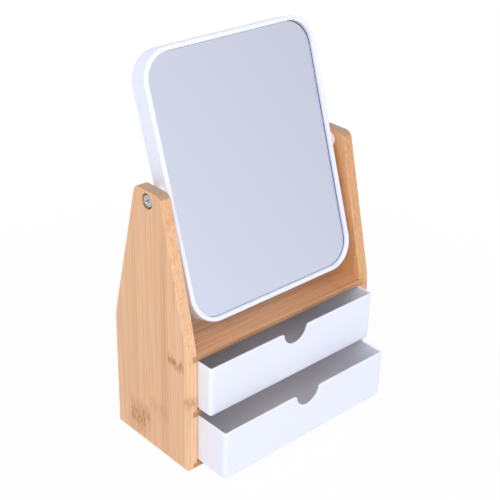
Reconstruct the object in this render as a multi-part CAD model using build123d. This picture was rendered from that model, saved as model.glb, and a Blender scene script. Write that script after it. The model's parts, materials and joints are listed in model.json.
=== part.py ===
from build123d import *
import math
import os

# A make-up mirror on a bamboo stand with two drawers. All sizes are in millimetres.
# +X is to the viewer's right, -Y is towards the viewer and +Z is up. The origin is the centre of
# the stand's footprint, on the surface that the stand rests on. The drawers are part way out and
# the mirror leans back, as the object was photographed.

# Stand: bamboo panels and boards
case_width = 190.0
case_depth = 87.0
panel_thickness = 9.5
panel_height = 219.5
panel_top_depth = 29.0
panel_knee_radius = 80.0
panel_top_radius = 7.0
panel_foot_radius = 1.0
bamboo_edge_radius = 1.0
board_thickness = 5.0
housing_depth = 4.5
bay_height = 43.0
back_thickness = 4.0
back_inset = 1.5
back_groove_depth = 4.0

# Drawers: thin moulded trays
drawer_wall = 1.6
drawer_floor = 1.6
drawer_corner_radius = 3.0
drawer_bottom_radius = 2.5
drawer_rim_radius = 0.5
drawer_gap_side = 0.4
drawer_gap_below = 0.4
drawer_gap_above = 0.6
drawer_gap_behind = 0.5
notch_radius = 12.0
notch_lip_radius = 2.0
upper_drawer_out = 14.0
lower_drawer_out = 30.4

# Mirror: two plastic shells, each with a glass let into its face
mirror_tilt = 18.1
mirror_depth = 16.5
mirror_corner_radius = 24.0
mirror_side_gap = 4.0
mirror_swing_gap = 9.15
mirror_edge_radius = 1.5
bezel_width = 3.3
bezel_edge_radius = 0.4
glass_recess = 1.4
glass_thickness = 1.8
glass_gap_least = 0.05
glass_gap_most = 0.95
glass_gap_ends = 0.4
glass_seam = 0.3
tape_thickness = 0.4
tape_gap = 0.2
shell_wall = 2.2
shell_web = 1.0
lip_height = 1.5
lip_root = 1.5
lip_thickness = 1.0
lip_gap = 0.1

# Screws that join the two shells
post_radius = 3.0
post_inset = 18.0
shell_screw_radius = 1.25
shell_screw_head_radius = 2.4
shell_screw_grip = 2.5
shell_screw_play = 0.05

# Pivot: a screw each side, through a bush in the panel, into a nut between the shells
pivot_edge_distance = 8.5
pivot_screw_radius = 2.5
pivot_screw_chamfer = 0.6
pivot_head_radius = 4.75
pivot_head_height = 2.8
pivot_head_crown = 1.2
recess_span = 5.0
recess_slot = 1.1
recess_depth = 1.5
counterbore_radius = 5.9
counterbore_depth = 4.5
washer_radius = 5.2
washer_thickness = 1.0
bush_wall = 1.25
running_gap = 0.05
body_gap = 0.3
spacer_radius = 7.0
spacer_edge_radius = 0.6
nut_flats = 7.0
nut_length = 8.0
boss_wall = 1.5

# Heights and depths of the stand that follow from the sizes above
case_side = case_width / 2
case_inside = case_side - panel_thickness
case_front = -case_depth / 2
case_back = case_depth / 2
divider_bottom = board_thickness + bay_height
divider_top = divider_bottom + board_thickness
shelf_bottom = divider_top + bay_height
shelf_top = shelf_bottom + board_thickness
board_end = case_inside + housing_depth
back_rear = case_back - back_inset
back_front = back_rear - back_thickness
back_end = case_inside + back_groove_depth

# The drawers fill their bays, less the gaps
drawer_side = case_inside - drawer_gap_side
drawer_depth = back_front - drawer_gap_behind - case_front
drawer_height = bay_height - drawer_gap_below - drawer_gap_above

# The mirror fills the space between the panels and clears the shelf as it turns over
pivot_height = panel_height - pivot_edge_distance
mirror_side = case_inside - mirror_side_gap
mirror_face = mirror_depth / 2
swing_radius = pivot_height - shelf_top - mirror_swing_gap
mirror_reach = math.sqrt(swing_radius**2 - mirror_face**2)

# Half sizes and depths inside the mirror, measured from the pivot
opening_side = mirror_side - bezel_width
opening_reach = mirror_reach - bezel_width
opening_radius = mirror_corner_radius - bezel_width
glass_front = mirror_face - glass_recess
glass_rear = glass_front - glass_thickness
web_outer = glass_rear - tape_thickness
web_inner = web_outer - shell_web
cavity_side = mirror_side - shell_wall
cavity_reach = mirror_reach - shell_wall
cavity_radius = mirror_corner_radius - shell_wall

# Stations along the pivot axis, from the outer face of the panel inwards
counterbore_floor = case_side - counterbore_depth
washer_inner = counterbore_floor + body_gap
washer_outer = washer_inner + washer_thickness
bush_radius = pivot_screw_radius + running_gap + bush_wall
spacer_outer = case_inside - body_gap
nut_inner = cavity_side - nut_length
nut_corner_radius = nut_flats / 2 / math.cos(math.pi / 6)
boss_inner = nut_inner - boss_wall
boss_half_height = nut_corner_radius + boss_wall
screw_hole_radius = pivot_screw_radius + running_gap


def block(x_range, y_range, z_range):
    """Rectangular block between two values on each axis."""
    low = Vector(x_range[0], y_range[0], z_range[0])
    high = Vector(x_range[1], y_range[1], z_range[1])
    size = high - low
    return Pos((low + high) / 2) * Box(size.X, size.Y, size.Z)


def disc(radius, x_from, x_to, y=0.0, z=0.0):
    """Round disc or pin along X."""
    plane = Plane.YZ.offset(x_from)
    return Pos(0, y, z) * extrude(plane * Circle(radius), x_to - x_from)


def ring(outer_radius, inner_radius, x_from, x_to):
    """Flat ring round the X axis."""
    return disc(outer_radius, x_from, x_to) - disc(inner_radius, x_from, x_to)


def plate(half_width, half_height, radius, y_front, y_rear):
    """Upright plate with rounded corners, centred on the pivot, between two depths."""
    outline = RectangleRounded(2 * half_width, 2 * half_height, radius)
    return extrude(Plane.XZ.offset(-y_rear) * outline, y_rear - y_front)


def flip(shape):
    """The same shape for the other side, left for right."""
    return mirror(shape, about=Plane.YZ)


def edges_at(shape, axis, position):
    """Edges of a shape that lie in the plane at a position along an axis."""
    reach = 0.001
    return shape.edges().filter_by_position(axis, position - reach, position + reach)


def edges_within(edges, half_width, half_height):
    """Those edges that lie inside an upright rectangle centred on the pivot."""
    reach = 0.001
    inside = edges.filter_by_position(Axis.X, -half_width - reach, half_width + reach)
    return inside.filter_by_position(Axis.Z, -half_height - reach, half_height + reach)


def board(front, rear, bottom):
    """Blank for a board that is let into both side panels."""
    return block((-board_end, board_end), (front, rear), (bottom, bottom + board_thickness))


def eased_board(front, rear, bottom):
    """Board with its long front edges eased."""
    blank = board(front, rear, bottom)
    return fillet(edges_at(blank, Axis.Y, front).filter_by(Axis.X), bamboo_edge_radius)


def back_panel():
    """Thin board that closes the drawer case, between the bottom board and the shelf."""
    return block((-back_end, back_end), (back_front, back_rear), (board_thickness, shelf_bottom))


def panel_outline():
    """Side view of a side panel: upright to the shelf, then tapering to a narrow top."""
    half_top = panel_top_depth / 2
    corners = [
        (case_front, 0),
        (case_back, 0),
        (case_back, shelf_top),
        (half_top, panel_height),
        (-half_top, panel_height),
        (case_front, shelf_top),
    ]
    outline = Plane.YZ * make_face(Polyline(*corners, close=True))
    reach = 0.001
    by_height = outline.vertices().filter_by_position
    outline = fillet(by_height(Axis.Z, -reach, reach), panel_foot_radius)
    by_height = outline.vertices().filter_by_position
    outline = fillet(by_height(Axis.Z, shelf_top - reach, shelf_top + reach), panel_knee_radius)
    by_height = outline.vertices().filter_by_position
    return fillet(by_height(Axis.Z, panel_height - reach, panel_height + reach), panel_top_radius)


def right_side_panel():
    """Right side panel with its housings for the boards and its stepped pivot hole."""
    panel = Pos(case_inside, 0, 0) * extrude(panel_outline(), panel_thickness)
    rims = edges_at(panel, Axis.X, case_inside) + edges_at(panel, Axis.X, case_side)
    panel = fillet(rims, bamboo_edge_radius)
    panel -= board(case_front, case_back, 0)
    panel -= board(case_front, back_front, divider_bottom)
    panel -= board(case_front, case_back, shelf_bottom)
    panel -= back_panel()
    panel -= disc(counterbore_radius, counterbore_floor, case_side, z=pivot_height)
    panel -= disc(bush_radius, case_inside, counterbore_floor, z=pivot_height)
    return panel


def notch_cutter(front, rim):
    """Half-round finger notch through a drawer's front wall, with rounded lips."""
    overshoot = drawer_wall
    half_width = notch_radius + notch_lip_radius + overshoot
    above = Pos(0, rim + overshoot / 2) * Rectangle(2 * half_width, overshoot)
    outline = above + Pos(0, rim) * Circle(notch_radius)
    reach = 0.001
    at_rim = outline.vertices().filter_by_position(Axis.Y, rim - reach, rim + reach)
    lips = at_rim.filter_by_position(Axis.X, -notch_radius - reach, notch_radius + reach)
    outline = fillet(lips, notch_lip_radius)
    rear = front + drawer_wall + overshoot
    return extrude(Plane.XZ.offset(-rear) * outline, rear - front + overshoot)


def rim_edges(body, front, rim):
    """Edges of a drawer's rim, inside and outside, down round its finger notch."""
    reach = 0.001
    half_notch = notch_radius + 2 * notch_lip_radius
    edges = edges_at(body, Axis.Z, rim)
    for face in (front, front + drawer_wall):
        at_notch = edges_at(body, Axis.Y, face).filter_by_position(Axis.X, -half_notch, half_notch)
        edges += at_notch.filter_by_position(Axis.Z, rim - notch_radius - reach, rim - reach)
    across_wall = edges.filter_by(Axis.Y).filter_by_position(Axis.X, -half_notch, half_notch)
    return ShapeList(edge for edge in edges if edge not in across_wall)


def drawer(bay_bottom, out):
    """Moulded tray with rounded corners, a finger notch and an eased rim."""
    front = case_front - out
    bottom = bay_bottom + drawer_gap_below
    rim = bottom + drawer_height
    centre = Pos(0, front + drawer_depth / 2, bottom)
    outline = RectangleRounded(2 * drawer_side, drawer_depth, drawer_corner_radius)
    body = centre * extrude(outline, drawer_height)
    body = fillet(edges_at(body, Axis.Z, bottom), drawer_bottom_radius)
    inside = offset(outline, -drawer_wall, kind=Kind.ARC)
    hollow = centre * Pos(0, 0, drawer_floor) * extrude(inside, drawer_height)
    inner_radius = drawer_bottom_radius - drawer_wall
    if inner_radius > 0:
        hollow = fillet(edges_at(hollow, Axis.Z, bottom + drawer_floor), inner_radius)
    body -= hollow
    body -= notch_cutter(front, rim)
    return fillet(rim_edges(body, front, rim), drawer_rim_radius)


def post_places():
    """Centres of the six posts that hold the shells together."""
    side = cavity_side - post_inset
    height = cavity_reach - post_inset
    return [Pos(x, 0, z) for x in (-side, side) for z in (-height, 0, height)]


def post(radius, y_front, y_rear):
    """Round post or hole from front to rear."""
    return extrude(Plane.XZ.offset(-y_rear) * Circle(radius), y_rear - y_front)


def nut_blank(length_from, length_to, play=0.0):
    """Hexagonal bar along X with two flats facing front and rear."""
    outline = RegularPolygon(nut_flats / 2 + play, 6, major_radius=False, rotation=30)
    return extrude(Plane.YZ.offset(length_from) * outline, length_to - length_from)


def right_boss():
    """Block inside both shells that holds the right pivot nut."""
    half = boss_half_height
    return block((boss_inner, cavity_side), (-web_inner, web_inner), (-half, half))


def right_nut_space():
    """Space for the right pivot nut and the screw that passes through it."""
    pocket = nut_blank(nut_inner, cavity_side, play=running_gap)
    return pocket + disc(screw_hole_radius, nut_inner, mirror_side)


def opening(y_front, y_rear):
    """Recess in the frame's face that takes the tape and the glass."""
    return plate(opening_side, opening_reach, opening_radius, y_front, y_rear)


def whole_shell():
    """Both halves of the frame as one, before they are parted at mid-depth."""
    body = plate(mirror_side, mirror_reach, mirror_corner_radius, -mirror_face, mirror_face)
    rims = edges_at(body, Axis.Y, -mirror_face) + edges_at(body, Axis.Y, mirror_face)
    body = fillet(rims, mirror_edge_radius)
    body -= opening(-mirror_face, -web_outer)
    body -= opening(web_outer, mirror_face)
    faces = edges_at(body, Axis.Y, -mirror_face) + edges_at(body, Axis.Y, mirror_face)
    body = fillet(edges_within(faces, opening_side, opening_reach), bezel_edge_radius)
    body -= plate(cavity_side, cavity_reach, cavity_radius, -web_inner, web_inner)
    for place in post_places():
        body += place * post(post_radius, -web_inner, web_inner)
    body += right_boss() + flip(right_boss())
    return body - right_nut_space() - flip(right_nut_space())


def half_of(shell, y_front, y_rear):
    """The part of the whole frame between two depths."""
    sides = (-mirror_side, mirror_side)
    heights = (-mirror_reach, mirror_reach)
    return shell & block(sides, (y_front, y_rear), heights)


def upstand(gap, thickness, y_front, y_rear):
    """Thin wall that follows the inside of the frame's wall at a gap."""
    step = gap + thickness
    outer = plate(cavity_side - gap, cavity_reach - gap, cavity_radius - gap, y_front, y_rear)
    inner = plate(cavity_side - step, cavity_reach - step, cavity_radius - step, y_front, y_rear)
    return outer - inner


def locating_lip():
    """Lip on the rear shell's wall that fits inside the wall of the front shell."""
    lip = upstand(lip_gap, lip_thickness, -lip_height, 0)
    lip += upstand(0, lip_gap + lip_thickness, 0, lip_root)
    half = boss_half_height + lip_gap
    return lip - block((-cavity_side, cavity_side), (-lip_height, lip_root), (-half, half))


def front_shell(shell):
    """Front half of the frame, with blind holes for the shell screws."""
    shell = half_of(shell, -mirror_face, 0)
    for place in post_places():
        hole_radius = shell_screw_radius + shell_screw_play
        shell -= place * post(hole_radius, -shell_screw_grip - shell_screw_play, 0)
    return shell


def rear_shell(shell):
    """Rear half of the frame, with its locating lip and countersunk holes."""
    shell = half_of(shell, 0, mirror_face) + locating_lip()
    for place in post_places():
        shell -= place * shell_screw(shell_screw_play)
    return shell


def shell_screw(play=0.0):
    """Countersunk screw from the rear shell into a post of the front shell."""
    radius = shell_screw_radius + play
    head_radius = shell_screw_head_radius + play
    head_depth = shell_screw_head_radius - shell_screw_radius
    profile = [
        (0, -shell_screw_grip - play),
        (radius, -shell_screw_grip - play),
        (radius, web_outer - head_depth),
        (head_radius, web_outer),
        (0, web_outer),
    ]
    outline = make_face(Polyline(*profile, close=True))
    return revolve(outline, Axis.Y)


def glass():
    """Front mirror glass with its ground seam, set towards the left of its recess."""
    gap = (glass_gap_least + glass_gap_most) / 2
    aside = (glass_gap_most - glass_gap_least) / 2
    side = opening_side - gap
    reach = opening_reach - glass_gap_ends
    sheet = plate(side, reach, opening_radius, -glass_front, -glass_rear)
    return Pos(-aside, 0, 0) * chamfer(edges_at(sheet, Axis.Y, -glass_front), glass_seam)


def tape():
    """Front foam sheet between the web and the glass, which shows in the gap beside the glass."""
    side = opening_side - tape_gap
    reach = opening_reach - tape_gap
    return plate(side, reach, opening_radius - tape_gap, -glass_rear, -web_outer)


def right_pivot_screw():
    """Pan-head screw with a cross recess, from the counterbore to the end of the nut."""
    head_top = washer_outer + pivot_head_height
    head = disc(pivot_head_radius, washer_outer, head_top)
    head = fillet(edges_at(head, Axis.X, head_top), pivot_head_crown)
    shank = disc(pivot_screw_radius, nut_inner, washer_outer)
    shank = chamfer(edges_at(shank, Axis.X, nut_inner), pivot_screw_chamfer)
    half_span = recess_span / 2
    half_slot = recess_slot / 2
    depth = (head_top - recess_depth, head_top)
    across = block(depth, (-half_span, half_span), (-half_slot, half_slot))
    upright = block(depth, (-half_slot, half_slot), (-half_span, half_span))
    return head + shank - across - upright


def right_pivot_washer():
    """Washer under the screw head."""
    return ring(washer_radius, screw_hole_radius, washer_inner, washer_outer)


def right_pivot_bush():
    """Sleeve in the side panel that the screw turns in."""
    return ring(bush_radius, screw_hole_radius, case_inside, counterbore_floor)


def right_pivot_spacer():
    """White spacer between the frame and the side panel."""
    spacer = ring(spacer_radius, screw_hole_radius, mirror_side, spacer_outer)
    rim = edges_at(spacer, Axis.X, spacer_outer).sort_by(SortBy.RADIUS)[-1]
    return fillet(rim, spacer_edge_radius)


def right_pivot_nut():
    """Long hexagon nut caught between the shells."""
    return nut_blank(nut_inner, cavity_side) - disc(screw_hole_radius, nut_inner, cavity_side)


def to_panel(shape):
    """Move a piece from the pivot axis at the origin to the panel's pivot hole."""
    return Pos(0, 0, pivot_height) * shape


def to_mirror(shape):
    """Move a piece that turns with the mirror to the pivot and lean it back."""
    return Pos(0, 0, pivot_height) * Rot(-mirror_tilt, 0, 0) * shape


def turned(shape):
    """The same piece for the back of the mirror, front for rear."""
    return mirror(shape, about=Plane.XZ)


right_panel = right_side_panel()
frame = whole_shell()
shell_screws = Compound(children=[place * shell_screw() for place in post_places()])
parts = {
    "side_panel_right": right_panel,
    "side_panel_left": flip(right_panel),
    "bottom_board": eased_board(case_front, case_back, 0),
    "drawer_divider": eased_board(case_front, back_front, divider_bottom),
    "top_shelf": eased_board(case_front, case_back, shelf_bottom),
    "back_panel": back_panel(),
    "upper_drawer": drawer(divider_top, upper_drawer_out),
    "lower_drawer": drawer(board_thickness, lower_drawer_out),
    "frame_front_shell": to_mirror(front_shell(frame)),
    "frame_rear_shell": to_mirror(rear_shell(frame)),
    "front_glass": to_mirror(glass()),
    "rear_glass": to_mirror(turned(glass())),
    "front_tape": to_mirror(tape()),
    "rear_tape": to_mirror(turned(tape())),
    "shell_screws": to_mirror(shell_screws),
}
for side_name, to_side in (("right", lambda shape: shape), ("left", flip)):
    parts[f"pivot_bush_{side_name}"] = to_panel(to_side(right_pivot_bush()))
    parts[f"pivot_screw_{side_name}"] = to_mirror(to_side(right_pivot_screw()))
    parts[f"pivot_washer_{side_name}"] = to_mirror(to_side(right_pivot_washer()))
    parts[f"pivot_spacer_{side_name}"] = to_mirror(to_side(right_pivot_spacer()))
    parts[f"pivot_nut_{side_name}"] = to_mirror(to_side(right_pivot_nut()))

os.makedirs("parts", exist_ok=True)
for node, shape in parts.items():
    export_step(shape, f"parts/{node}.step")
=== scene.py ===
"""Looks of a make-up mirror on a bamboo stand with two drawers.

Lengths are in metres. +X is to the viewer's right, -Y is towards the viewer and +Z is up.
"""
import json
import logging
import math
from collections.abc import Mapping, Sequence
from dataclasses import dataclass
from enum import Enum

import bpy
import numpy as np
from mathutils import Matrix, Vector


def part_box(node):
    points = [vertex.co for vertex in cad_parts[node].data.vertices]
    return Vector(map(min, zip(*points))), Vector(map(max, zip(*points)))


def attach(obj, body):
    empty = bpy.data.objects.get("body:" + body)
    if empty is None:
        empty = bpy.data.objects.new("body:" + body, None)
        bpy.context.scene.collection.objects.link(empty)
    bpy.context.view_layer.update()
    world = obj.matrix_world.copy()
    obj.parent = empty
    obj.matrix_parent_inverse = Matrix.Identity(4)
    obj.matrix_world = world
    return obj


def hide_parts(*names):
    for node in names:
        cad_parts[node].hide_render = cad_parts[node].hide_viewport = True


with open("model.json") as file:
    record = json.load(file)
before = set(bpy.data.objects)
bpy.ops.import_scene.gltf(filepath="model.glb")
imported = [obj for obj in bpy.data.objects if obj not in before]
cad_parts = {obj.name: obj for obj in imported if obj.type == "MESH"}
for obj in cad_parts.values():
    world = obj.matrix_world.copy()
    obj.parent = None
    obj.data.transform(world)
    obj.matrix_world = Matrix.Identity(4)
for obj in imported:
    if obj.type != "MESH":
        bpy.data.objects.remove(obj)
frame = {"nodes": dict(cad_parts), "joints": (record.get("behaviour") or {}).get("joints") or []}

MM = 0.001
SHARP_ANGLE = math.radians(32)
WHITE = (1.0, 1.0, 1.0)
MIX_AMOUNT, MIX_FIRST, MIX_SECOND = 0, 6, 7
MIXED_COLOUR = 2

Colour = tuple[float, float, float]
Range = tuple[float, float]
log = logging.getLogger("make-up mirror")


class Socket:
    """Output of a shader node. Arithmetic on it adds Math nodes."""

    def __init__(self, graph: "Graph", link: bpy.types.NodeSocket) -> None:
        """Keep the graph and the output."""
        self.graph = graph
        self.link = link

    def __add__(self, other: "Value") -> "Socket":
        """Sum."""
        return self.graph.maths("ADD", self, other)

    def __sub__(self, other: "Value") -> "Socket":
        """Difference."""
        return self.graph.maths("SUBTRACT", self, other)

    def __rsub__(self, other: "Value") -> "Socket":
        """Difference from a number."""
        return self.graph.maths("SUBTRACT", other, self)

    def __mul__(self, other: "Value") -> "Socket":
        """Product."""
        return self.graph.maths("MULTIPLY", self, other)

    def __abs__(self) -> "Socket":
        """Size without its sign."""
        return self.graph.maths("ABSOLUTE", self)

    __radd__ = __add__
    __rmul__ = __mul__


Value = float | Socket
Setting = str | bool | int | Sequence


class Graph:
    """Node tree of a material or of the world."""

    def __init__(self, tree: bpy.types.NodeTree) -> None:
        """Start with an empty tree."""
        self.tree = tree
        tree.nodes.clear()

    def node(
        self,
        kind: str,
        settings: Mapping[str, Setting],
        inputs: Mapping[str | int, Value | Sequence[float]],
        output: str | int = 0,
    ) -> Socket:
        """Add a node that has an output.

        Args:
            kind: Type of the node.
            settings: Its settings, which are set first. Stops and interpolation belong to a ramp.
            inputs: Values or outputs for its inputs, by name or number.
            output: Name or number of the output that is wanted.

        Returns:
            That output.
        """
        made = self.tree.nodes.new(kind)
        for name, value in settings.items():
            if name == "stops":
                self.fill_ramp(made.color_ramp, value)
            elif name == "interpolation":
                made.color_ramp.interpolation = value
            else:
                setattr(made, name, value)
        for name, value in inputs.items():
            if isinstance(value, Socket):
                self.tree.links.new(value.link, made.inputs[name])
            else:
                made.inputs[name].default_value = value
        return Socket(self, made.outputs[output])

    def fill_ramp(self, ramp: bpy.types.ColorRamp, stops: Sequence[tuple[float, Colour]]) -> None:
        """Give a ramp its stops.

        Args:
            ramp: The ramp.
            stops: Place from 0 to 1 and colour of each stop, in order.
        """
        while len(ramp.elements) < len(stops):
            ramp.elements.new(1.0)
        for element, (position, colour) in zip(ramp.elements, stops):
            element.position = position
            element.color = (*colour, 1.0)

    def end(self, kind: str, shader: Socket) -> None:
        """Join a shader to the output of a material or of the world."""
        self.tree.links.new(shader.link, self.tree.nodes.new(kind).inputs["Surface"])

    def maths(self, operation: str, *values: Value) -> Socket:
        """Output of a Math node with these values."""
        return self.node("ShaderNodeMath", {"operation": operation}, dict(enumerate(values)))

    def highest(self, first: Value, second: Value) -> Socket:
        """The larger of two values."""
        return self.maths("MAXIMUM", first, second)

    def ease(self, value: Value, low: float, high: float) -> Socket:
        """Rise smoothly from 0 where the value is low to 1 where it is high."""
        inputs = {"Value": value, "From Min": low, "From Max": high}
        return self.node("ShaderNodeMapRange", {"interpolation_type": "SMOOTHSTEP"}, inputs)

    def fall(self, value: Value, reach: float) -> Socket:
        """Drop smoothly from 1 at zero to 0 at a reach on either side."""
        return 1.0 - self.ease(abs(value), 0.0, reach)

    def blend(self, amount: Value, first: Colour | Socket, second: Colour | Socket) -> Socket:
        """Colour between two colours. A Mix node numbers its sockets for colours apart.

        Args:
            amount: 0 gives the first colour and 1 the second.
            first: First colour.
            second: Second colour.

        Returns:
            The mixed colour.
        """
        inputs = {MIX_AMOUNT: amount, MIX_FIRST: self.opaque(first), MIX_SECOND: self.opaque(second)}
        return self.node("ShaderNodeMix", {"data_type": "RGBA"}, inputs, MIXED_COLOUR)

    def opaque(self, colour: Colour | Socket) -> Sequence[float] | Socket:
        """A colour with its alpha of 1, or an output as it is."""
        return colour if isinstance(colour, Socket) else (*colour, 1.0)

    def stretched(
        self, place: Socket, scale: Sequence[float], shift: Socket | Sequence[float] = (0.0, 0.0, 0.0)
    ) -> Socket:
        """Coordinates times a scale on each axis, plus a shift."""
        inputs = {0: place, 1: scale, 2: shift}
        return self.node("ShaderNodeVectorMath", {"operation": "MULTIPLY_ADD"}, inputs)

    def along(self, vector: Socket, direction: Sequence[float]) -> Socket:
        """How far a vector reaches in a direction."""
        inputs = {0: vector, 1: direction}
        return self.node("ShaderNodeVectorMath", {"operation": "DOT_PRODUCT"}, inputs, "Value")

    def length(self, vector: Socket) -> Socket:
        """Length of a vector."""
        return self.node("ShaderNodeVectorMath", {"operation": "LENGTH"}, {0: vector}, "Value")

    def noise(
        self, place: Socket, scale: float = 1.0, detail: float = 2.0, roughness: float = 0.5
    ) -> Socket:
        """Soft noise from 0 to 1.

        Args:
            place: Coordinates.
            scale: Number of lumps in a unit of them.
            detail: Number of finer layers.
            roughness: Strength of the finer layers.

        Returns:
            The noise.
        """
        inputs = {"Vector": place, "Scale": scale, "Detail": detail, "Roughness": roughness}
        return self.node("ShaderNodeTexNoise", {}, inputs)

    def parts(self, vector: Socket) -> tuple[Socket, Socket, Socket]:
        """X, Y and Z of a vector, or the red, green and blue of a colour."""
        first = self.node("ShaderNodeSeparateXYZ", {}, {0: vector})
        outputs = first.link.node.outputs
        return first, Socket(self, outputs[1]), Socket(self, outputs[2])


class Surface(Graph):
    """Material with one shader, whose patterns read the piece's own coordinates."""

    def __init__(self, name: str) -> None:
        """Make the material and its coordinates."""
        self.material = bpy.data.materials.new(name)
        self.material.use_nodes = True
        super().__init__(self.material.node_tree)
        self.place = self.node("ShaderNodeTexCoord", {}, {}, "Object")
        self.facing = Socket(self, self.place.link.node.outputs["Normal"])

    def bump(self, height: Value, depth: float, strength: float) -> Socket:
        """Normal of a relief.

        Args:
            height: Height from 0 to 1.
            depth: Real depth of the relief.
            strength: How much of it shows.

        Returns:
            The normal.
        """
        inputs = {"Strength": strength, "Distance": depth, "Height": height}
        return self.node("ShaderNodeBump", {}, inputs)

    def finish(self, inputs: Mapping[str, Value | Sequence[float]]) -> bpy.types.Material:
        """Add the shader and join it to the surface.

        Args:
            inputs: Values and outputs for the shader's sockets.

        Returns:
            The finished material.
        """
        self.end("ShaderNodeOutputMaterial", self.node("ShaderNodeBsdfPrincipled", {}, inputs))
        return self.material


class Grain(Enum):
    """Direction that the bamboo's fibres run in, as the number of an axis."""

    UPRIGHT = 2
    SIDEWAYS = 0


@dataclass(frozen=True)
class Strip:
    """One of the strips that a bamboo board is glued up from.

    Start is the edge of the strip across the board and knuckle the place of its joint along the
    board, both in millimetres. Tone and warmth go from 0 to 1, mark is how strongly the joint
    shows and height is how far it reaches along the board, in millimetres.
    """

    start: float
    tone: float
    warmth: float
    knuckle: float
    mark: float
    height: float


@dataclass(frozen=True)
class Palette:
    """Colours of the bamboo at one level of painted shade: its pale, tan and rosy zones and the lines
    of its fibres.
    """

    pale: Colour
    tan: Colour
    rosy: Colour
    fibres: Colour


class PaintedShadeLevel(Enum):
    """Palettes for the boards: honey for boards that the lights reach, and darker, more orange copies
    of it that paint shade and bounce light onto the others.
    """

    HONEY = Palette(
        pale=(0.97, 0.605, 0.34),
        tan=(0.79, 0.42, 0.20),
        rosy=(0.86, 0.46, 0.265),
        fibres=(0.52, 0.235, 0.095),
    )
    # Painted half shade: a darker, more orange copy of honey that stands in for the shade and the
    # orange bounce light on the right panel and the back panel.
    PAINTED_HALF_SHADE = Palette(
        pale=(0.86, 0.475, 0.22),
        tan=(0.67, 0.32, 0.125),
        rosy=(0.72, 0.35, 0.165),
        fibres=(0.44, 0.18, 0.06),
    )
    # Painted deep shade: a still darker copy that stands in for the shade on the shelf under the
    # mirror and on the divider and bottom board inside the case.
    PAINTED_DEEP_SHADE = Palette(
        pale=(0.78, 0.42, 0.21),
        tan=(0.51, 0.235, 0.095),
        rosy=(0.60, 0.295, 0.155),
        fibres=(0.29, 0.115, 0.04),
    )


@dataclass(frozen=True)
class Streaks:
    """Noise that is drawn out along the fibres.

    Across and along are the numbers of its lumps in a metre, and shift moves the pattern.
    """

    across: float
    along: float
    detail: float
    shift: tuple[float, float, float] = (0.0, 0.0, 0.0)

    def value(self, surface: Surface, place: Socket, grain: Grain) -> Socket:
        """The noise at a place, from 0 to 1.

        Args:
            surface: The material being made.
            place: Coordinates.
            grain: Direction of the fibres.

        Returns:
            The noise.
        """
        scale = tuple(self.along if axis == grain.value else self.across for axis in range(3))
        return surface.noise(surface.stretched(place, scale, self.shift), detail=self.detail)


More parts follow.
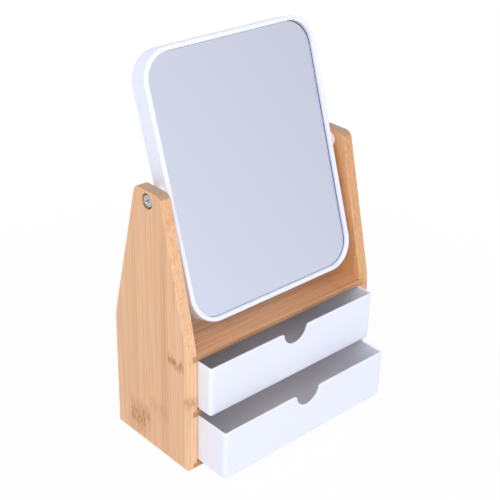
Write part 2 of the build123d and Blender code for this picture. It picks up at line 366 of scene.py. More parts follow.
@dataclass(frozen=True)
class Bamboo:
    """Lacquered board of bamboo strips, glued side by side.

    Crosswise is the number of the axis that the strips are set out along, 1 for Y and 2 for Z.
    Across and lengthwise hold the ends of the board along that axis and along its fibres. A range
    gives the values between which a pattern goes from nothing to full, and a strength says how much
    of the pattern's colour is laid over the colours below it.
    """

    name: str
    grain: Grain
    # Palette of the board: honey, or a darker copy that paints shade and bounce light.
    shade: PaintedShadeLevel
    strips: tuple[Strip, ...]
    crosswise: int
    across: Range
    lengthwise: Range
    knuckle_colour: Colour = (0.46, 0.165, 0.05)
    seam_colour: Colour = (0.40, 0.20, 0.10)
    end_colour: Colour = (0.45, 0.29, 0.165)
    bundle_colour: Colour = (0.26, 0.15, 0.08)
    strip_shift: tuple[float, float, float] = (0.31, 0.17, 0.23)
    zones: Streaks = Streaks(170.0, 5.0, 2.0)
    stripes: Streaks = Streaks(640.0, 5.0, 3.0)
    lines: Streaks = Streaks(1200.0, 4.0, 1.0, (3.0, 5.0, 7.0))
    fibres: Streaks = Streaks(2300.0, 24.0, 2.0)
    wave: Streaks = Streaks(160.0, 30.0, 3.0)
    mottle: Streaks = Streaks(900.0, 130.0, 3.0, (7.0, 3.0, 5.0))
    tone_share: float = 0.5
    zone_share: float = 0.35
    stripe_share: float = 0.8
    pale_range: Range = (0.55, 1.05)
    rosy_range: Range = (0.35, 0.7)
    rosy_strength: float = 0.8
    fibre_range: Range = (0.52, 0.74)
    fibre_strength: float = 0.38
    line_range: Range = (0.58, 0.70)
    line_strength: float = 0.46
    tallest_mark: float = 30.0
    wave_height: float = 11 * MM
    knuckle_reach: float = 0.9 * MM
    knuckle_line_share: float = 0.7
    knuckle_strength: float = 0.95
    patch_range: Range = (0.1, 1.0)
    mottle_range: Range = (0.38, 0.60)
    seam_reach: float = 0.35 * MM
    seam_strength: float = 0.12
    end_range: Range = (0.4, 0.7)
    end_strength: float = 0.9
    bundle_scale: float = 1250.0
    bundle_range: Range = (0.12, 0.34)
    bundle_strength: float = 0.55
    relief: float = 0.03 * MM
    relief_strength: float = 0.5
    groove_range: Range = (0.60, 0.72)
    grain_height: float = 0.4
    seam_depth: float = 0.5
    roughness: float = 0.46
    fibre_roughness: float = 0.12
    coat: float = 0.12
    coat_roughness: float = 0.3

    def strip_values(self, surface: Surface, across: Socket) -> tuple[Socket, Socket]:
        """Tone, warmth and mark of the strip at a place, and its knuckle's place and height.

        Args:
            surface: The material being made.
            across: Place across the board.

        Returns:
            Two colours whose red, green and blue hold the values.
        """
        low, high = self.across
        share = (across - low) * (1.0 / (high - low))
        begin, end = self.lengthwise
        looks = []
        marks = []
        for strip in self.strips:
            position = max(0.0, (strip.start * MM - low) / (high - low))
            looks.append((position, (strip.tone, strip.warmth, strip.mark)))
            place = (strip.knuckle * MM - begin) / (end - begin)
            marks.append((position, (place, strip.height / self.tallest_mark, 0.0)))
        return self.steps(surface, share, looks), self.steps(surface, share, marks)

    def steps(self, surface: Surface, share: Socket, stops: Sequence[tuple[float, Colour]]) -> Socket:
        """Colour that holds from each stop to the next.

        Args:
            surface: The material being made.
            share: Place across the board, from 0 to 1.
            stops: Place and colour of each stop.

        Returns:
            The colour.
        """
        settings = {"interpolation": "CONSTANT", "stops": stops}
        return surface.node("ShaderNodeValToRGB", settings, {0: share})

    def seams(self, surface: Surface, across: Socket) -> Socket:
        """Lines of glue between the strips, 1 on a seam and 0 away from it."""
        line = surface.fall(across - self.strips[1].start * MM, self.seam_reach)
        for strip in self.strips[2:]:
            line = surface.highest(line, surface.fall(across - strip.start * MM, self.seam_reach))
        return line

    def knuckles(
        self, surface: Surface, place: Socket, lengthwise: Socket, marks: Socket
    ) -> tuple[Socket, Socket]:
        """The joints of the bamboo: a thin wavy line and a mottled patch of short dark streaks.

        Args:
            surface: The material being made.
            place: Coordinates, shifted from strip to strip.
            lengthwise: Place along the board.
            marks: Place and height of each strip's knuckle.

        Returns:
            The line and the patch, from 0 to 1.
        """
        spot, tall, _ = surface.parts(marks)
        begin, end = self.lengthwise
        wave = self.wave.value(surface, place, self.grain)
        away = lengthwise - begin - spot * (end - begin) + (wave - 0.5) * self.wave_height
        line = surface.fall(away, self.knuckle_reach)
        spread = surface.maths("DIVIDE", abs(away), tall * (self.tallest_mark * MM))
        mottle = self.mottle.value(surface, place, self.grain)
        near = 1.0 - surface.ease(spread, *self.patch_range)
        return line, near * surface.ease(mottle, *self.mottle_range)

    def ends(self, surface: Surface) -> tuple[Socket, Socket]:
        """Sawn end grain with the dark dots of the fibre bundles.

        Args:
            surface: The material being made.

        Returns:
            How far the surface is end grain, and the dots, from 0 to 1.
        """
        direction = [float(axis == self.grain.value) for axis in range(3)]
        end = surface.ease(abs(surface.along(surface.facing, direction)), *self.end_range)
        cells = {"Vector": surface.place, "Scale": self.bundle_scale}
        distance = surface.node("ShaderNodeTexVoronoi", {}, cells, "Distance")
        return end, 1.0 - surface.ease(distance, *self.bundle_range)

    def material(self) -> bpy.types.Material:
        """The board's finish, laid on from the pale and tan zones up to the end grain.

        Returns:
            The material.
        """
        surface = Surface(self.name)
        # Darker palettes here are painted shade, not a different bamboo.
        palette = self.shade.value
        axes = surface.parts(surface.place)
        across = axes[self.crosswise]
        looks, marks = self.strip_values(surface, across)
        tone, warmth, mark = surface.parts(looks)
        place = surface.stretched(surface.place, (1, 1, 1), surface.stretched(looks, self.strip_shift))
        patterns = (self.zones, self.stripes, self.lines, self.fibres)
        zones, stripes, lines, fibres = (each.value(surface, place, self.grain) for each in patterns)
        line, patch = self.knuckles(surface, place, axes[self.grain.value], marks)
        end, bundles = self.ends(surface)
        seam = self.seams(surface, across)

        depth = tone * self.tone_share + zones * self.zone_share + stripes * self.stripe_share
        colour = surface.blend(surface.ease(depth, *self.pale_range), palette.tan, palette.pale)
        rosy = warmth * surface.ease(zones, *self.rosy_range) * self.rosy_strength
        colour = surface.blend(rosy, colour, palette.rosy)
        fine = surface.ease(fibres, *self.fibre_range) * self.fibre_strength
        coarse = surface.ease(lines, *self.line_range) * self.line_strength
        colour = surface.blend(surface.highest(fine, coarse), colour, palette.fibres)
        joint = surface.highest(line * self.knuckle_line_share, patch) * mark * self.knuckle_strength
        colour = surface.blend(joint, colour, self.knuckle_colour)
        colour = surface.blend(seam * self.seam_strength, colour, self.seam_colour)
        sawn = surface.blend(bundles * self.bundle_strength, self.end_colour, self.bundle_colour)
        colour = surface.blend(end * self.end_strength, colour, sawn)

        groove = surface.ease(lines, *self.groove_range)
        height = fibres * self.grain_height + stripes * self.grain_height - groove * self.grain_height
        height = height - seam * self.seam_depth - line * mark * self.grain_height
        return surface.finish(
            {
                "Base Color": colour,
                "Roughness": self.roughness + fibres * self.fibre_roughness,
                "Normal": surface.bump(height, self.relief, self.relief_strength),
                "Coat Weight": self.coat,
                "Coat Roughness": self.coat_roughness,
            }
        )


@dataclass(frozen=True)
class MouldedPlastic:
    """Moulded plastic with a faint flow pattern and a fine satin skin."""

    name: str
    colour: Colour
    flow_colour: Colour
    roughness: float
    flow_scale: float = 22.0
    flow_detail: float = 3.0
    flow_range: Range = (0.3, 0.7)
    flow_roughness: float = 0.08
    skin_scale: float = 2600.0
    skin_detail: float = 1.0
    skin_roughness: float = 0.06
    relief: float = 0.006 * MM
    relief_strength: float = 0.35

    def material(self) -> bpy.types.Material:
        """The plastic's finish."""
        surface = Surface(self.name)
        flow = surface.noise(surface.place, self.flow_scale, self.flow_detail)
        skin = surface.noise(surface.place, self.skin_scale, self.skin_detail)
        dull = self.roughness + (flow - 0.5) * self.flow_roughness + (skin - 0.5) * self.skin_roughness
        amount = surface.ease(flow, *self.flow_range)
        return surface.finish(
            {
                "Base Color": surface.blend(amount, self.colour, self.flow_colour),
                "Roughness": dull,
                "Normal": surface.bump(skin, self.relief, self.relief_strength),
            }
        )


@dataclass(frozen=True)
class Silvering:
    """Mirror coating behind glass, with a painted reflection: a blue tint, palest at its lower left
    corner and darkest at its upper right, stands in for the surroundings that it reflects.

    Low is the lower left corner, and rise is how fast the tint goes over along each axis, per metre.
    """

    name: str = "mirror silver with painted reflection"
    # Painted reflection: both colours are the tint of the reflected surroundings, laid into the
    # coating.
    colour: Colour = (0.685, 0.715, 0.87)
    painted_reflection_far_colour: Colour = (0.575, 0.60, 0.715)
    low: tuple[float, float, float] = (-0.078, 0.0, 0.115)
    rise: tuple[float, float, float] = (3.8, 0.0, 2.1)
    roughness: float = 0.015
    haze_scale: float = 9.0
    haze_detail: float = 3.0
    haze_range: Range = (0.45, 0.8)
    haze_roughness: float = 0.02

    def share(self, surface: Surface) -> Socket:
        """How far a place is from the lower left corner to the upper right one, from 0 to about 1."""
        start = -float(np.dot(self.low, self.rise))
        return surface.along(surface.place, self.rise) + start

    def material(self) -> bpy.types.Material:
        """The mirror's finish, with its painted reflection in the base colour."""
        surface = Surface(self.name)
        haze = surface.noise(surface.place, self.haze_scale, self.haze_detail)
        hazy = surface.ease(haze, *self.haze_range)
        return surface.finish(
            {
                # Painted reflection: the base colour goes from the pale tint at the lower left to the
                # darker one at the upper right.
                "Base Color": surface.blend(self.share(surface), self.colour, self.painted_reflection_far_colour),
                "Metallic": 1.0,
                "Roughness": self.roughness + hazy * self.haze_roughness,
            }
        )


@dataclass(frozen=True)
class TurnedMetal:
    """Metal with the fine rings that a lathe leaves round the pivot axis."""

    name: str
    colour: Colour
    worn_colour: Colour
    roughness: float
    pivot: tuple[float, float, float]
    ring_pitch: float = 0.16 * MM
    relief: float = 0.004 * MM
    relief_strength: float = 0.3
    wear_scale: float = 500.0
    wear_detail: float = 4.0
    wear_layers: float = 0.6
    worn_range: Range = (0.4, 0.7)
    dull_range: Range = (0.4, 0.8)
    worn_roughness: float = 0.12

    def material(self) -> bpy.types.Material:
        """The metal's finish. The rings are a sine of the distance to the pivot axis."""
        surface = Surface(self.name)
        _, y, z = self.pivot
        radius = surface.length(surface.stretched(surface.place, (0.0, 1.0, 1.0), (0.0, -y, -z)))
        rings = surface.maths("SINE", radius * (2 * math.pi / self.ring_pitch)) * 0.5 + 0.5
        wear = surface.noise(surface.place, self.wear_scale, self.wear_detail, self.wear_layers)
        worn = surface.ease(wear, *self.worn_range)
        dull = surface.ease(wear, *self.dull_range)
        return surface.finish(
            {
                "Base Color": surface.blend(worn, self.colour, self.worn_colour),
                "Metallic": 1.0,
                "Roughness": self.roughness + dull * self.worn_roughness,
                "Normal": surface.bump(rings, self.relief, self.relief_strength),
            }
        )


@dataclass(frozen=True)
class Foam:
    """Black foam sheet with open cells."""

    name: str = "black foam"
    colour: Colour = (0.03, 0.03, 0.034)
    cell_colour: Colour = (0.012, 0.012, 0.014)
    cell_scale: float = 2200.0
    wall_range: Range = (0.15, 0.6)
    roughness: float = 0.9
    wall_roughness: float = 0.08
    relief: float = 0.05 * MM
    relief_strength: float = 0.6

    def material(self) -> bpy.types.Material:
        """The foam's finish."""
        surface = Surface(self.name)
        cells = {"Vector": surface.place, "Scale": self.cell_scale}
        distance = surface.node("ShaderNodeTexVoronoi", {}, cells, "Distance")
        wall = surface.ease(distance, *self.wall_range)
        return surface.finish(
            {
                "Base Color": surface.blend(wall, self.cell_colour, self.colour),
                "Roughness": self.roughness + wall * self.wall_roughness,
                "Normal": surface.bump(wall, self.relief, self.relief_strength),
            }
        )


def node_points(node: str) -> np.ndarray:
    """Corners of a node of the frame, one in each row."""
    vertices = frame["nodes"][node].data.vertices
    points = np.empty(3 * len(vertices))
    vertices.foreach_get("co", points)
    return points.reshape(-1, 3)


def loft(rings: np.ndarray) -> tuple[np.ndarray, list[list[int]]]:
    """Join closed rings of points into a skin with a flat face at each end.

    Each quad joins two neighbours on one ring to the same two on the next. The faces point outwards
    where the rings turn anticlockwise about the direction that they follow each other in.

    Args:
        rings: Points by ring, place on the ring and axis.

    Returns:
        The points and the corners of each face.
    """
    rows, count = rings.shape[:2]
    ring, place = np.meshgrid(np.arange(rows - 1), np.arange(count), indexing="ij")
    here = ring * count + place
    beside = ring * count + (place + 1) % count
    quads = np.stack([here, beside, beside + count, here + count], axis=-1).reshape(-1, 4)
    first = np.arange(count)[::-1]
    last = np.arange(count) + (rows - 1) * count
    return rings.reshape(-1, 3), [*quads.tolist(), first.tolist(), last.tolist()]


def make_piece(
    name: str, points: np.ndarray, faces: list[list[int]], material: bpy.types.Material
) -> bpy.types.Object:
    """Make a piece of points and faces that are already in place.

    Args:
        name: Name of the piece.
        points: Corners, one in each row.
        faces: Numbers of the corners of each face.
        material: Finish of the whole piece.

    Returns:
        The piece, smooth except at its sharp edges.
    """
    mesh = bpy.data.meshes.new(name)
    mesh.from_pydata(points.tolist(), [], faces)
    mesh.polygons.foreach_set("use_smooth", np.ones(len(mesh.polygons), bool))
    mesh.set_sharp_from_angle(angle=SHARP_ANGLE)
    mesh.materials.append(material)
    piece = bpy.data.objects.new(name, mesh)
    bpy.context.scene.collection.objects.link(piece)
    return piece


def dress(node: str, material: bpy.types.Material) -> None:
    """Give a node of the frame its finish."""
    slots = frame["nodes"][node].data.materials
    slots.clear()
    slots.append(material)
    log.info("%s dressed in %s", node, material.name)


@dataclass
class MirrorAxes:
    """The mirror's own axes: its middle is the origin, and its face looks along -Y."""

    pivot: Vector
    lean: float = math.radians(18.1)

    def __post_init__(self) -> None:
        """Work out the turn and the place."""
        turn = Matrix.Rotation(-self.lean, 3, "X")
        self.turn = np.array(turn)
        self.place = np.array(self.pivot)

    def to_object(self, points: np.ndarray) -> np.ndarray:
        """Points on the mirror's own axes, moved to where the mirror is."""
        return points @ self.turn.T + self.place

    def from_object(self, points: np.ndarray) -> np.ndarray:
        """Points of the object, seen on the mirror's own axes."""
        return (points - self.place) @ self.turn

    def box(self, node: str) -> tuple[np.ndarray, np.ndarray]:
        """Lowest and highest corner of a node on the mirror's own axes."""
        points = self.from_object(node_points(node))
        return points.min(axis=0), points.max(axis=0)


class Head(Enum):
    """Form of a screw's head."""

    PAN = "pan"
    COUNTERSUNK = "countersunk"


@dataclass(frozen=True)
class Screw:
    """Screw with a cross recess. It lies along X with its tip at the origin and its head at +X."""

    length: float
    shank_radius: float
    head: Head
    head_radius: float
    head_height: float
    thread_length: float
    pitch: float
    thread_depth: float
    slot: float
    span: float
    recess_depth: float
    tip_chamfer: float = 0.5 * MM
    crown: float = 0.9 * MM
    crown_power: int = 4
    seat_share: float = 0.96
    seat_height: float = 0.15 * MM
    middle_angle: float = 0.012
    slot_taper: float = 0.25 * MM
    slot_end_power: float = 0.7
    around: int = 128
    thread_steps: int = 6
    head_rings: int = 56

    def shank(self, angles: np.ndarray) -> tuple[np.ndarray, np.ndarray]:
        """Station and radius of the shank, from its tip to its head.

        The radius drops from the crest by the thread's depth times a triangle wave of the turns
        made so far, which is the station over the pitch less the share of a turn round the shank.

        Args:
            angles: Angles round the axis.

        Returns:
            Stations and radii by ring and angle.
        """
        steps = int(self.thread_length / self.pitch * self.thread_steps)
        stations = np.linspace(self.tip_chamfer, self.thread_length, steps)[:, None]
        turns = stations / self.pitch - angles[None, :] / (2 * math.pi)
        wave = np.abs(2 * (turns - np.floor(turns)) - 1)
        radii = self.shank_radius - self.thread_depth * wave
        tip = np.full((1, len(angles)), self.shank_radius - self.tip_chamfer)
        plain = np.full((2, len(angles)), self.shank_radius)
        neck = self.length - (self.head_height if self.head is Head.COUNTERSUNK else 0)
        ends = np.array([[self.thread_length + self.pitch / 2], [neck]]) + 0 * plain
        stations = np.vstack([0 * tip, stations + 0 * radii, ends])
        return stations, np.vstack([tip, radii, plain])

    def recess(self, across: np.ndarray, upright: np.ndarray) -> np.ndarray:
        """Depth of the cross recess at places on the head.

        Each arm is as deep as the recess in its middle and rises to nothing at the slot's walls and
        at its ends, and the recess is the deeper of the two arms.

        Args:
            across: Places along one arm.
            upright: Places along the other arm.

        Returns:
            The depth at each place.
        """

        def arm(run: np.ndarray, aside: np.ndarray) -> np.ndarray:
            """Depth of one arm, from the places along it and to its side."""
            wall = np.clip((self.slot / 2 - np.abs(aside)) / self.slot_taper, 0, 1)
            end = np.clip((self.span / 2 - np.abs(run)) / (self.span / 3), 0, 1)
            return wall * end**self.slot_end_power

        return self.recess_depth * np.maximum(arm(across, upright), arm(upright, across))

    def top(self, angles: np.ndarray) -> tuple[np.ndarray, np.ndarray]:
        """Station and radius of the head, from the shank over its rim to its middle.

        The radius is the head's times the sine of an angle that falls from a right angle to almost
        nothing. A pan head rises from a straight flank in a superellipse, whose height over the
        flank is the crown times the fourth root of one less the fourth power of that sine.

        Args:
            angles: Angles round the axis.

        Returns:
            Stations and radii by ring and angle.
        """
        share = np.sin(np.linspace(math.pi / 2, self.middle_angle, self.head_rings))[:, None]
        radii = self.head_radius * share + 0 * angles[None, :]
        face = self.recess(radii * np.cos(angles), radii * np.sin(angles))
        if self.head is Head.COUNTERSUNK:
            return self.length - face, radii
        flank = self.length + self.head_height - self.crown
        dome = self.crown * (1 - share**self.crown_power) ** (1 / self.crown_power)
        under = np.array([[self.length], [self.length]]) + 0 * radii[:2]
        seat = np.array([[self.head_radius * self.seat_share], [self.head_radius]]) + 0 * radii[:2]
        under[1] += self.seat_height
        return np.vstack([under, flank + dome - face]), np.vstack([seat, radii])

    def skin(self) -> np.ndarray:
        """Rings of the whole screw, by ring, place on the ring and axis."""
        angles = np.linspace(0, 2 * math.pi, self.around, endpoint=False)
        shank = self.shank(angles)
        top = self.top(angles)
        stations = np.vstack([shank[0], top[0]])
        radii = np.vstack([shank[1], top[1]])
        return np.stack([stations, radii * np.cos(angles), radii * np.sin(angles)], axis=-1)


@dataclass
class Finishes:
    """The finishes that more than one sub-assembly uses."""

    pivot: tuple[float, float, float]

    def __post_init__(self) -> None:
        """Make the materials."""
        self.plastic = self.moulded("white plastic", (0.915, 0.93, 1.0), (0.925, 0.935, 0.995), 0.36)
        self.spacer = self.moulded("spacer plastic", (0.84, 0.82, 0.84), (0.80, 0.80, 0.83), 0.5)
        self.bush = self.moulded("bush plastic", (0.76, 0.74, 0.68), (0.72, 0.70, 0.64), 0.55)
        self.chrome = self.metal("bright chrome", (0.50, 0.50, 0.51), (0.40, 0.40, 0.405), 0.12)
        # Painted shade: this zinc is darker than real zinc so that the pivot washers, deep in their
        # counterbores, look shaded.
        self.zinc = self.metal("zinc plate darkened as painted shade", (0.36, 0.36, 0.37), (0.27, 0.27, 0.27), 0.4)
        self.brass = self.metal("turned brass", (0.76, 0.56, 0.27), (0.62, 0.43, 0.20), 0.28)
        self.silver = Silvering().material()
        self.foam = Foam().material()

    def moulded(self, name: str, colour: Colour, flow: Colour, roughness: float) -> bpy.types.Material:
        """Moulded plastic, and the colour of its flow pattern."""
        return MouldedPlastic(name, colour, flow, roughness).material()

    def metal(self, name: str, colour: Colour, worn: Colour, roughness: float) -> bpy.types.Material:
        """Metal with rings about the pivot."""
        return TurnedMetal(name, colour, worn, roughness, self.pivot).material()


PANEL_LEFT = (
    Strip(-44, 0.75, 0.1, 61, 0.55, 9),
    Strip(-39, 0.55, 0.3, 91, 0.95, 7),
    Strip(-21, 0.40, 0.6, 40, 0.30, 12),
    Strip(-11, 0.48, 0.5, 38, 0.30, 12),
    Strip(2, 0.52, 0.35, 21, 0.75, 17),
    Strip(8.5, 0.50, 0.5, 18, 0.95, 21),
    Strip(26.5, 0.62, 0.35, 204, 0.2, 8),
)
PANEL_RIGHT = (
    Strip(-44, 0.70, 0.2, 148, 0.25, 8),
    Strip(-36, 0.55, 0.3, 62, 0.8, 9),
    Strip(-17, 0.45, 0.5, 176, 0.6, 8),
    Strip(3, 0.62, 0.3, 118, 0.85, 10),
    Strip(22, 0.42, 0.55, 28, 0.8, 12),
    Strip(38, 0.55, 0.3, 70, 0.3, 8),
)
SHELF = (
    Strip(-44, 0.5, 0.2, 64, 0.35, 8),
    Strip(-27, 0.4, 0.4, -38, 0.5, 10),
    Strip(-8, 0.5, 0.3, 31, 0.6, 9),
    Strip(11, 0.45, 0.5, -71, 0.5, 8),
    Strip(30, 0.55, 0.3, 5, 0.5, 10),
)
DIVIDER = (
    Strip(-44, 0.5, 0.3, -30, 0.4, 8),
    Strip(-22, 0.45, 0.4, 52, 0.5, 9),
    Strip(0, 0.55, 0.3, -60, 0.5, 9),
    Strip(21, 0.45, 0.4, 12, 0.5, 9),
)
BOTTOM = (
    Strip(-44, 0.45, 0.3, 18, 0.4, 8),
    Strip(-24, 0.55, 0.4, -66, 0.6, 9),
    Strip(-2, 0.45, 0.3, 47, 0.5, 9),
    Strip(19, 0.5, 0.5, -12, 0.6, 9),
)
BACK = (
    Strip(0, 0.5, 0.3, 22, 0.5, 9),
    Strip(19, 0.42, 0.5, -49, 0.6, 9),
    Strip(38, 0.56, 0.3, 60, 0.5, 8),
    Strip(57, 0.46, 0.4, -8, 0.6, 10),
    Strip(76, 0.52, 0.3, -70, 0.5, 9),
)


@dataclass
class BambooStand:
    """The stand: two side panels, three boards and the back."""

    boards: Mapping[str, tuple[Grain, PaintedShadeLevel, tuple[Strip, ...]]]

    def board(self, node: str, grain: Grain, shade: PaintedShadeLevel, strips: tuple[Strip, ...]) -> None:
        """Dress one board in strips that are set out from its own box.

        Args:
            node: Name of the board.
            grain: Direction of its fibres.
            shade: Its palette: the lit honey one, or a darker copy that paints shade onto its colours.
            strips: Its strips, from front to back or, on an upright board, from the bottom up.
        """
        low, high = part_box(node)
        upright_board = grain is Grain.SIDEWAYS and high.z - low.z >= high.y - low.y
        crosswise = 2 if upright_board else 1
        across = (low[crosswise], high[crosswise])
        lengthwise = (low[grain.value], high[grain.value])
        name = "bamboo " + node.replace("_", " ")
        dress(node, Bamboo(name, grain, shade, strips, crosswise, across, lengthwise).material())

    def dress(self) -> None:
        """Dress every board."""
        for node, look in self.boards.items():
            self.board(node, *look)


@dataclass
class Drawers:
    """The two moulded drawers."""

    finishes: Finishes
    nodes: tuple[str, ...] = ("upper_drawer", "lower_drawer")

    def dress(self) -> None:
        """Dress both drawers."""
        for node in self.nodes:
            dress(node, self.finishes.plastic)


@dataclass
class MirrorFrame:
    """The tilting frame: two shells, and in each a sheet of foam and a mirror."""

    axes: MirrorAxes
    finishes: Finishes
    coat_thickness: float = 0.1 * MM
    corner_radius: float = 20.7 * MM
    corner_steps: int = 20

    def outline(self, low: np.ndarray, high: np.ndarray) -> np.ndarray:
        """Rectangle with round corners, anticlockwise to someone who faces the mirror.

        Each corner is a quarter circle about a point that lies one radius in from both sides, and
        the quarters follow each other from the right side upwards.

        Args:
            low: Lowest corner of the rectangle.
            high: Highest corner.

        Returns:
            Places across and up, one in each row.
        """
        radius = self.corner_radius
        right, top = high[0] - radius, high[2] - radius
        left, bottom = low[0] + radius, low[2] + radius
        centres = np.array([[right, top], [left, top], [left, bottom], [right, bottom]])
        quarter = np.linspace(0, math.pi / 2, self.corner_steps)
        angles = np.arange(4)[:, None] * math.pi / 2 + quarter
        arcs = np.stack([np.cos(angles), np.sin(angles)], axis=-1) * radius
        return (centres[:, None, :] + arcs).reshape(-1, 2)

    def coating(self, side: str, inward: float) -> None:
        """Make the mirror coating, which lies where the back of the glass is.

        Args:
            side: Front or rear.
            inward: Direction along Y from the glass to the middle of the frame.
        """
        low, high = self.axes.box(f"{side}_glass")
        back = high[1] if inward > 0 else low[1]
        loop = self.outline(low, high)
        depths = np.array([back, back - inward * self.coat_thickness])
        rings = np.empty((2, len(loop), 3))
        rings[:, :, 0] = loop[:, 0]
        rings[:, :, 1] = depths[:, None]
        rings[:, :, 2] = loop[:, 1]
        if inward < 0:
            rings = rings[:, ::-1]
        points, faces = loft(rings)
        piece = make_piece(f"{side}_mirror", self.axes.to_object(points), faces, self.finishes.silver)
        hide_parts(f"{side}_glass")
        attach(piece, "mirror")
        log.info("%s made", piece.name)

    def dress(self) -> None:
        """Dress the shells and the foam."""
        dress("frame_front_shell", self.finishes.plastic)
        dress("frame_rear_shell", self.finishes.plastic)
        dress("front_tape", self.finishes.foam)
        dress("rear_tape", self.finishes.foam)

    def build(self) -> None:
        """Make and dress the whole frame."""
        self.coating("front", 1.0)
        self.coating("rear", -1.0)
        self.dress()


@dataclass
class Pivots:
    """The screws, washers, bushes, spacers and nuts that the mirror turns on."""

    axes: MirrorAxes
    finishes: Finishes
    shank_radius: float = 2.5 * MM
    plain_end: float = 6.8 * MM
    recess_angle: float = math.radians(28)

    def screw(self, side: str, turned: bool) -> None:
        """Make a pivot screw with its cross recess and thread.

        Args:
            side: Left or right.
            turned: True for the side whose head faces -X.
        """
        node = f"pivot_screw_{side}"
        low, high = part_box(node)
        washer_low, washer_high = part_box(f"pivot_washer_{side}")
        under_head = abs(washer_low.x) if turned else washer_high.x
        tip = -high.x if turned else low.x
        outer = -low.x if turned else high.x
        length = under_head - tip
        form = Screw(
            length=length,
            shank_radius=self.shank_radius,
            head=Head.PAN,
            head_radius=(high.y - low.y) / 2,
            head_height=outer - under_head,
            thread_length=length - self.plain_end,
            pitch=0.8 * MM,
            thread_depth=0.4 * MM,
            slot=1.1 * MM,
            span=5.4 * MM,
            recess_depth=1.5 * MM,
        )
        rings = form.skin()
        rings[:, :, 0] += tip
        cosine, sine = math.cos(self.recess_angle), math.sin(self.recess_angle)
        across, up = rings[:, :, 1].copy(), rings[:, :, 2].copy()
        rings[:, :, 1] = across * cosine - up * sine
        rings[:, :, 2] = across * sine + up * cosine
        if turned:
            rings[:, :, :2] *= -1
        points, faces = loft(rings)
        piece = make_piece(f"{node}_turned", self.axes.to_object(points), faces, self.finishes.chrome)
        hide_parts(node)
        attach(piece, "mirror")
        log.info("%s made", piece.name)

    def dress(self, side: str) -> None:
        """Dress the small parts of one side."""
        # The washers take the zinc that is darkened as painted shade.
        dress(f"pivot_washer_{side}", self.finishes.zinc)
        dress(f"pivot_bush_{side}", self.finishes.bush)
        dress(f"pivot_spacer_{side}", self.finishes.spacer)
        dress(f"pivot_nut_{side}", self.finishes.brass)

    def build(self) -> None:
        """Make and dress both pivots."""
        for side, turned in (("left", True), ("right", False)):
            self.screw(side, turned)
            self.dress(side)


@dataclass
class ShellScrews:
    """The six countersunk screws that hold the shells together."""

    axes: MirrorAxes
    finishes: Finishes
    shank_radius: float = 1.25 * MM
    head_radius: float = 2.4 * MM

    def build(self) -> None:
        """Make the screws as one piece, because the frame holds them as one node."""
        low, high = self.axes.box("shell_screws")
        form = Screw(
            length=high[1] - low[1],
            shank_radius=self.shank_radius,
            head=Head.COUNTERSUNK,
            head_radius=self.head_radius,
            head_height=self.head_radius - self.shank_radius,
            thread_length=4.5 * MM,
            pitch=0.8 * MM,
            thread_depth=0.25 * MM,
            slot=0.6 * MM,
            span=2.8 * MM,
            recess_depth=0.8 * MM,
            tip_chamfer=0.3 * MM,
            slot_taper=0.15 * MM,
            around=64,
            head_rings=28,
        )
        rings = form.skin()
        screw = np.stack([-rings[:, :, 1], rings[:, :, 0] + low[1], rings[:, :, 2]], axis=-1)
        points, faces = loft(screw)
        side = high[0] - self.head_radius
        reach = high[2] - self.head_radius
        places = [(x, 0.0, z) for x in (-side, side) for z in (-reach, 0.0, reach)]
        count = len(points)
        every_point = np.vstack([points + place for place in places])
        starts = [number * count for number in range(len(places))]
        every_face = [[corner + start for corner in face] for start in starts for face in faces]
        points = self.axes.to_object(every_point)
        piece = make_piece("shell_screws_turned", points, every_face, self.finishes.zinc)
        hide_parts("shell_screws")
        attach(piece, "mirror")
        log.info("%s made", piece.name)


def direction(azimuth: float, elevation: float) -> Vector:
    """Direction from the object, from degrees. Azimuth 0 is in front and 90 is to the right."""
    turn, rise = math.radians(azimuth), math.radians(elevation)
    return Vector((math.sin(turn) * math.cos(rise), -math.cos(turn) * math.cos(rise), math.sin(rise)))


def looking(back: Vector, roll: float = 0.0) -> Matrix:
    """Turn that looks against a direction, level, then rolled by degrees."""
    right = Vector((0, 0, 1)).cross(back).normalized()
    up = back.cross(right)
    level = Matrix((right, up, back)).transposed()
    return (level @ Matrix.Rotation(math.radians(roll), 3, "Z")).to_4x4()


@dataclass(frozen=True)
class SoftBox:
    """Square soft light that faces the object, with its angles in degrees and its power in watts."""

    name: str
    azimuth: float
    elevation: float
    side: float
    power: float
    colour: Colour = (0.93, 0.95, 1.0)
    distance: float = 1.8

    def build(self, target: Vector) -> None:
        """Hang the light."""
        lamp = bpy.data.lights.new(self.name, "AREA")
        lamp.shape = "SQUARE"
        lamp.size = self.side
        lamp.energy = self.power
        lamp.color = self.colour
        back = direction(self.azimuth, self.elevation)
        holder = bpy.data.objects.new(self.name, lamp)
        holder.matrix_world = Matrix.Translation(target + back * self.distance) @ looking(back)
        bpy.context.scene.collection.objects.link(holder)


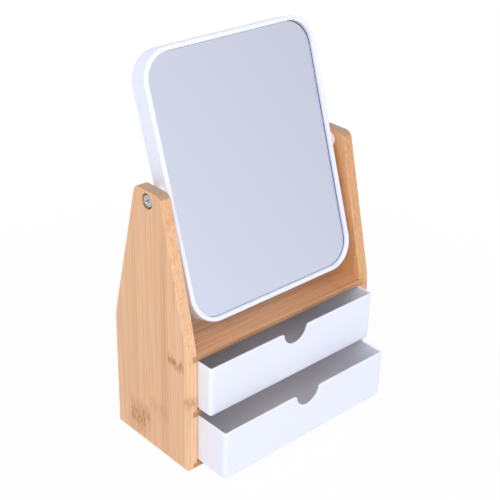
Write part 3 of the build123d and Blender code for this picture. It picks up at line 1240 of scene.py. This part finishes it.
@dataclass
class Studio:
    """Camera, soft lights, pale floor and white surroundings."""

    target: Vector = Vector((3.42 * MM, 0.0, 138.96 * MM))
    azimuth: float = -42.76
    elevation: float = 28.19
    roll: float = 1.34
    distance: float = 0.871
    lens: float = 80.84
    clip_end: float = 100.0
    floor_radius: float = 12.0
    floor_drop: float = 0.1 * MM
    floor_sides: int = 96
    floor_colour: Colour = (0.9, 0.9, 0.9)
    near_white: float = 0.955
    fade: Range = (0.2, 0.5)
    ambient: Colour = (0.50, 0.515, 0.57)
    lights: tuple[SoftBox, ...] = (
        SoftBox("key soft box", -40.0, 42.0, 1.4, 11.4),
        SoftBox("front soft box", -15.0, 38.0, 1.2, 5.7),
        SoftBox("left soft box", -68.0, 40.0, 1.2, 4.2),
    )

    def camera(self) -> None:
        """Set up the camera at the photograph's angle."""
        lens = bpy.data.cameras.new("camera")
        lens.lens = self.lens
        lens.clip_end = self.clip_end
        camera = bpy.data.objects.new("camera", lens)
        back = direction(self.azimuth, self.elevation)
        place = Matrix.Translation(self.target + back * self.distance)
        camera.matrix_world = place @ looking(back, self.roll)
        bpy.context.scene.collection.objects.link(camera)
        bpy.context.scene.camera = camera

    def seen(self, graph: Graph) -> Socket:
        """1 for rays from the camera and rays that a mirror or a clear piece sends on, else 0."""
        camera = graph.node("ShaderNodeLightPath", {}, {}, "Is Camera Ray")
        outputs = camera.link.node.outputs
        glossy = Socket(graph, outputs["Is Glossy Ray"])
        clear = Socket(graph, outputs["Is Transmission Ray"])
        return graph.highest(camera, graph.highest(glossy, clear))

    def world(self) -> None:
        """Surround the object with white that lights it softly."""
        world = bpy.data.worlds.new("white surroundings")
        world.use_nodes = True
        bpy.context.scene.world = world
        graph = Graph(world.node_tree)
        soft = graph.node("ShaderNodeBackground", {}, {"Color": (*self.ambient, 1.0)})
        white = graph.node("ShaderNodeBackground", {}, {"Color": (*WHITE, 1.0)})
        mixed = graph.node("ShaderNodeMixShader", {}, {0: self.seen(graph), 1: soft, 2: white})
        graph.end("ShaderNodeOutputWorld", mixed)

    def floor(self) -> None:
        """Lay a round pale floor that keeps a trace of the object's shadow.

        To the camera it is mostly white, and wholly white beyond the reach of the fade. It lies just
        under the base, so that the two don't share a plane.
        """
        angles = np.linspace(0, 2 * math.pi, self.floor_sides, endpoint=False)
        ring = self.floor_radius * np.stack([np.cos(angles), np.sin(angles), 0 * angles], axis=-1)
        ring[:, 2] = -self.floor_drop
        surface = Surface("pale floor")
        faded = surface.ease(surface.length(surface.place), *self.fade)
        pale = surface.node("ShaderNodeBsdfDiffuse", {}, {"Color": (*self.floor_colour, 1.0)})
        white = surface.node("ShaderNodeEmission", {}, {"Color": (*WHITE, 1.0)})
        share = self.seen(surface) * (self.near_white + faded * (1.0 - self.near_white))
        mixed = surface.node("ShaderNodeMixShader", {}, {0: share, 1: pale, 2: white})
        surface.end("ShaderNodeOutputMaterial", mixed)
        make_piece("pale_floor", ring, [list(range(len(angles)))], surface.material)

    def build(self) -> None:
        """Set up the whole studio."""
        bpy.context.scene.view_settings.view_transform = "Standard"
        self.camera()
        self.world()
        self.floor()
        for light in self.lights:
            light.build(self.target)
        log.info("studio set up")


def main() -> None:
    """Build every sub-assembly round the frame."""
    logging.basicConfig(level=logging.INFO, format="%(message)s")
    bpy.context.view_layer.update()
    tilt = next(joint for joint in frame["joints"] if joint["name"] == "mirror_tilt")
    axes = MirrorAxes(Vector(tilt["pos_m"]))
    finishes = Finishes(tuple(tilt["pos_m"]))
    # The right panel and the back panel take the painted half shade palette, and the shelf, divider
    # and bottom board take the painted deep shade one: their colours carry the shade that falls on
    # them.
    boards = {
        "side_panel_left": (Grain.UPRIGHT, PaintedShadeLevel.HONEY, PANEL_LEFT),
        "side_panel_right": (Grain.UPRIGHT, PaintedShadeLevel.PAINTED_HALF_SHADE, PANEL_RIGHT),
        "top_shelf": (Grain.SIDEWAYS, PaintedShadeLevel.PAINTED_DEEP_SHADE, SHELF),
        "drawer_divider": (Grain.SIDEWAYS, PaintedShadeLevel.PAINTED_DEEP_SHADE, DIVIDER),
        "bottom_board": (Grain.SIDEWAYS, PaintedShadeLevel.PAINTED_DEEP_SHADE, BOTTOM),
        "back_panel": (Grain.SIDEWAYS, PaintedShadeLevel.PAINTED_HALF_SHADE, BACK),
    }
    BambooStand(boards).dress()
    Drawers(finishes).dress()
    MirrorFrame(axes, finishes).build()
    Pivots(axes, finishes).build()
    ShellScrews(axes, finishes).build()
    Studio().build()


if __name__ == "__main__":
    main()
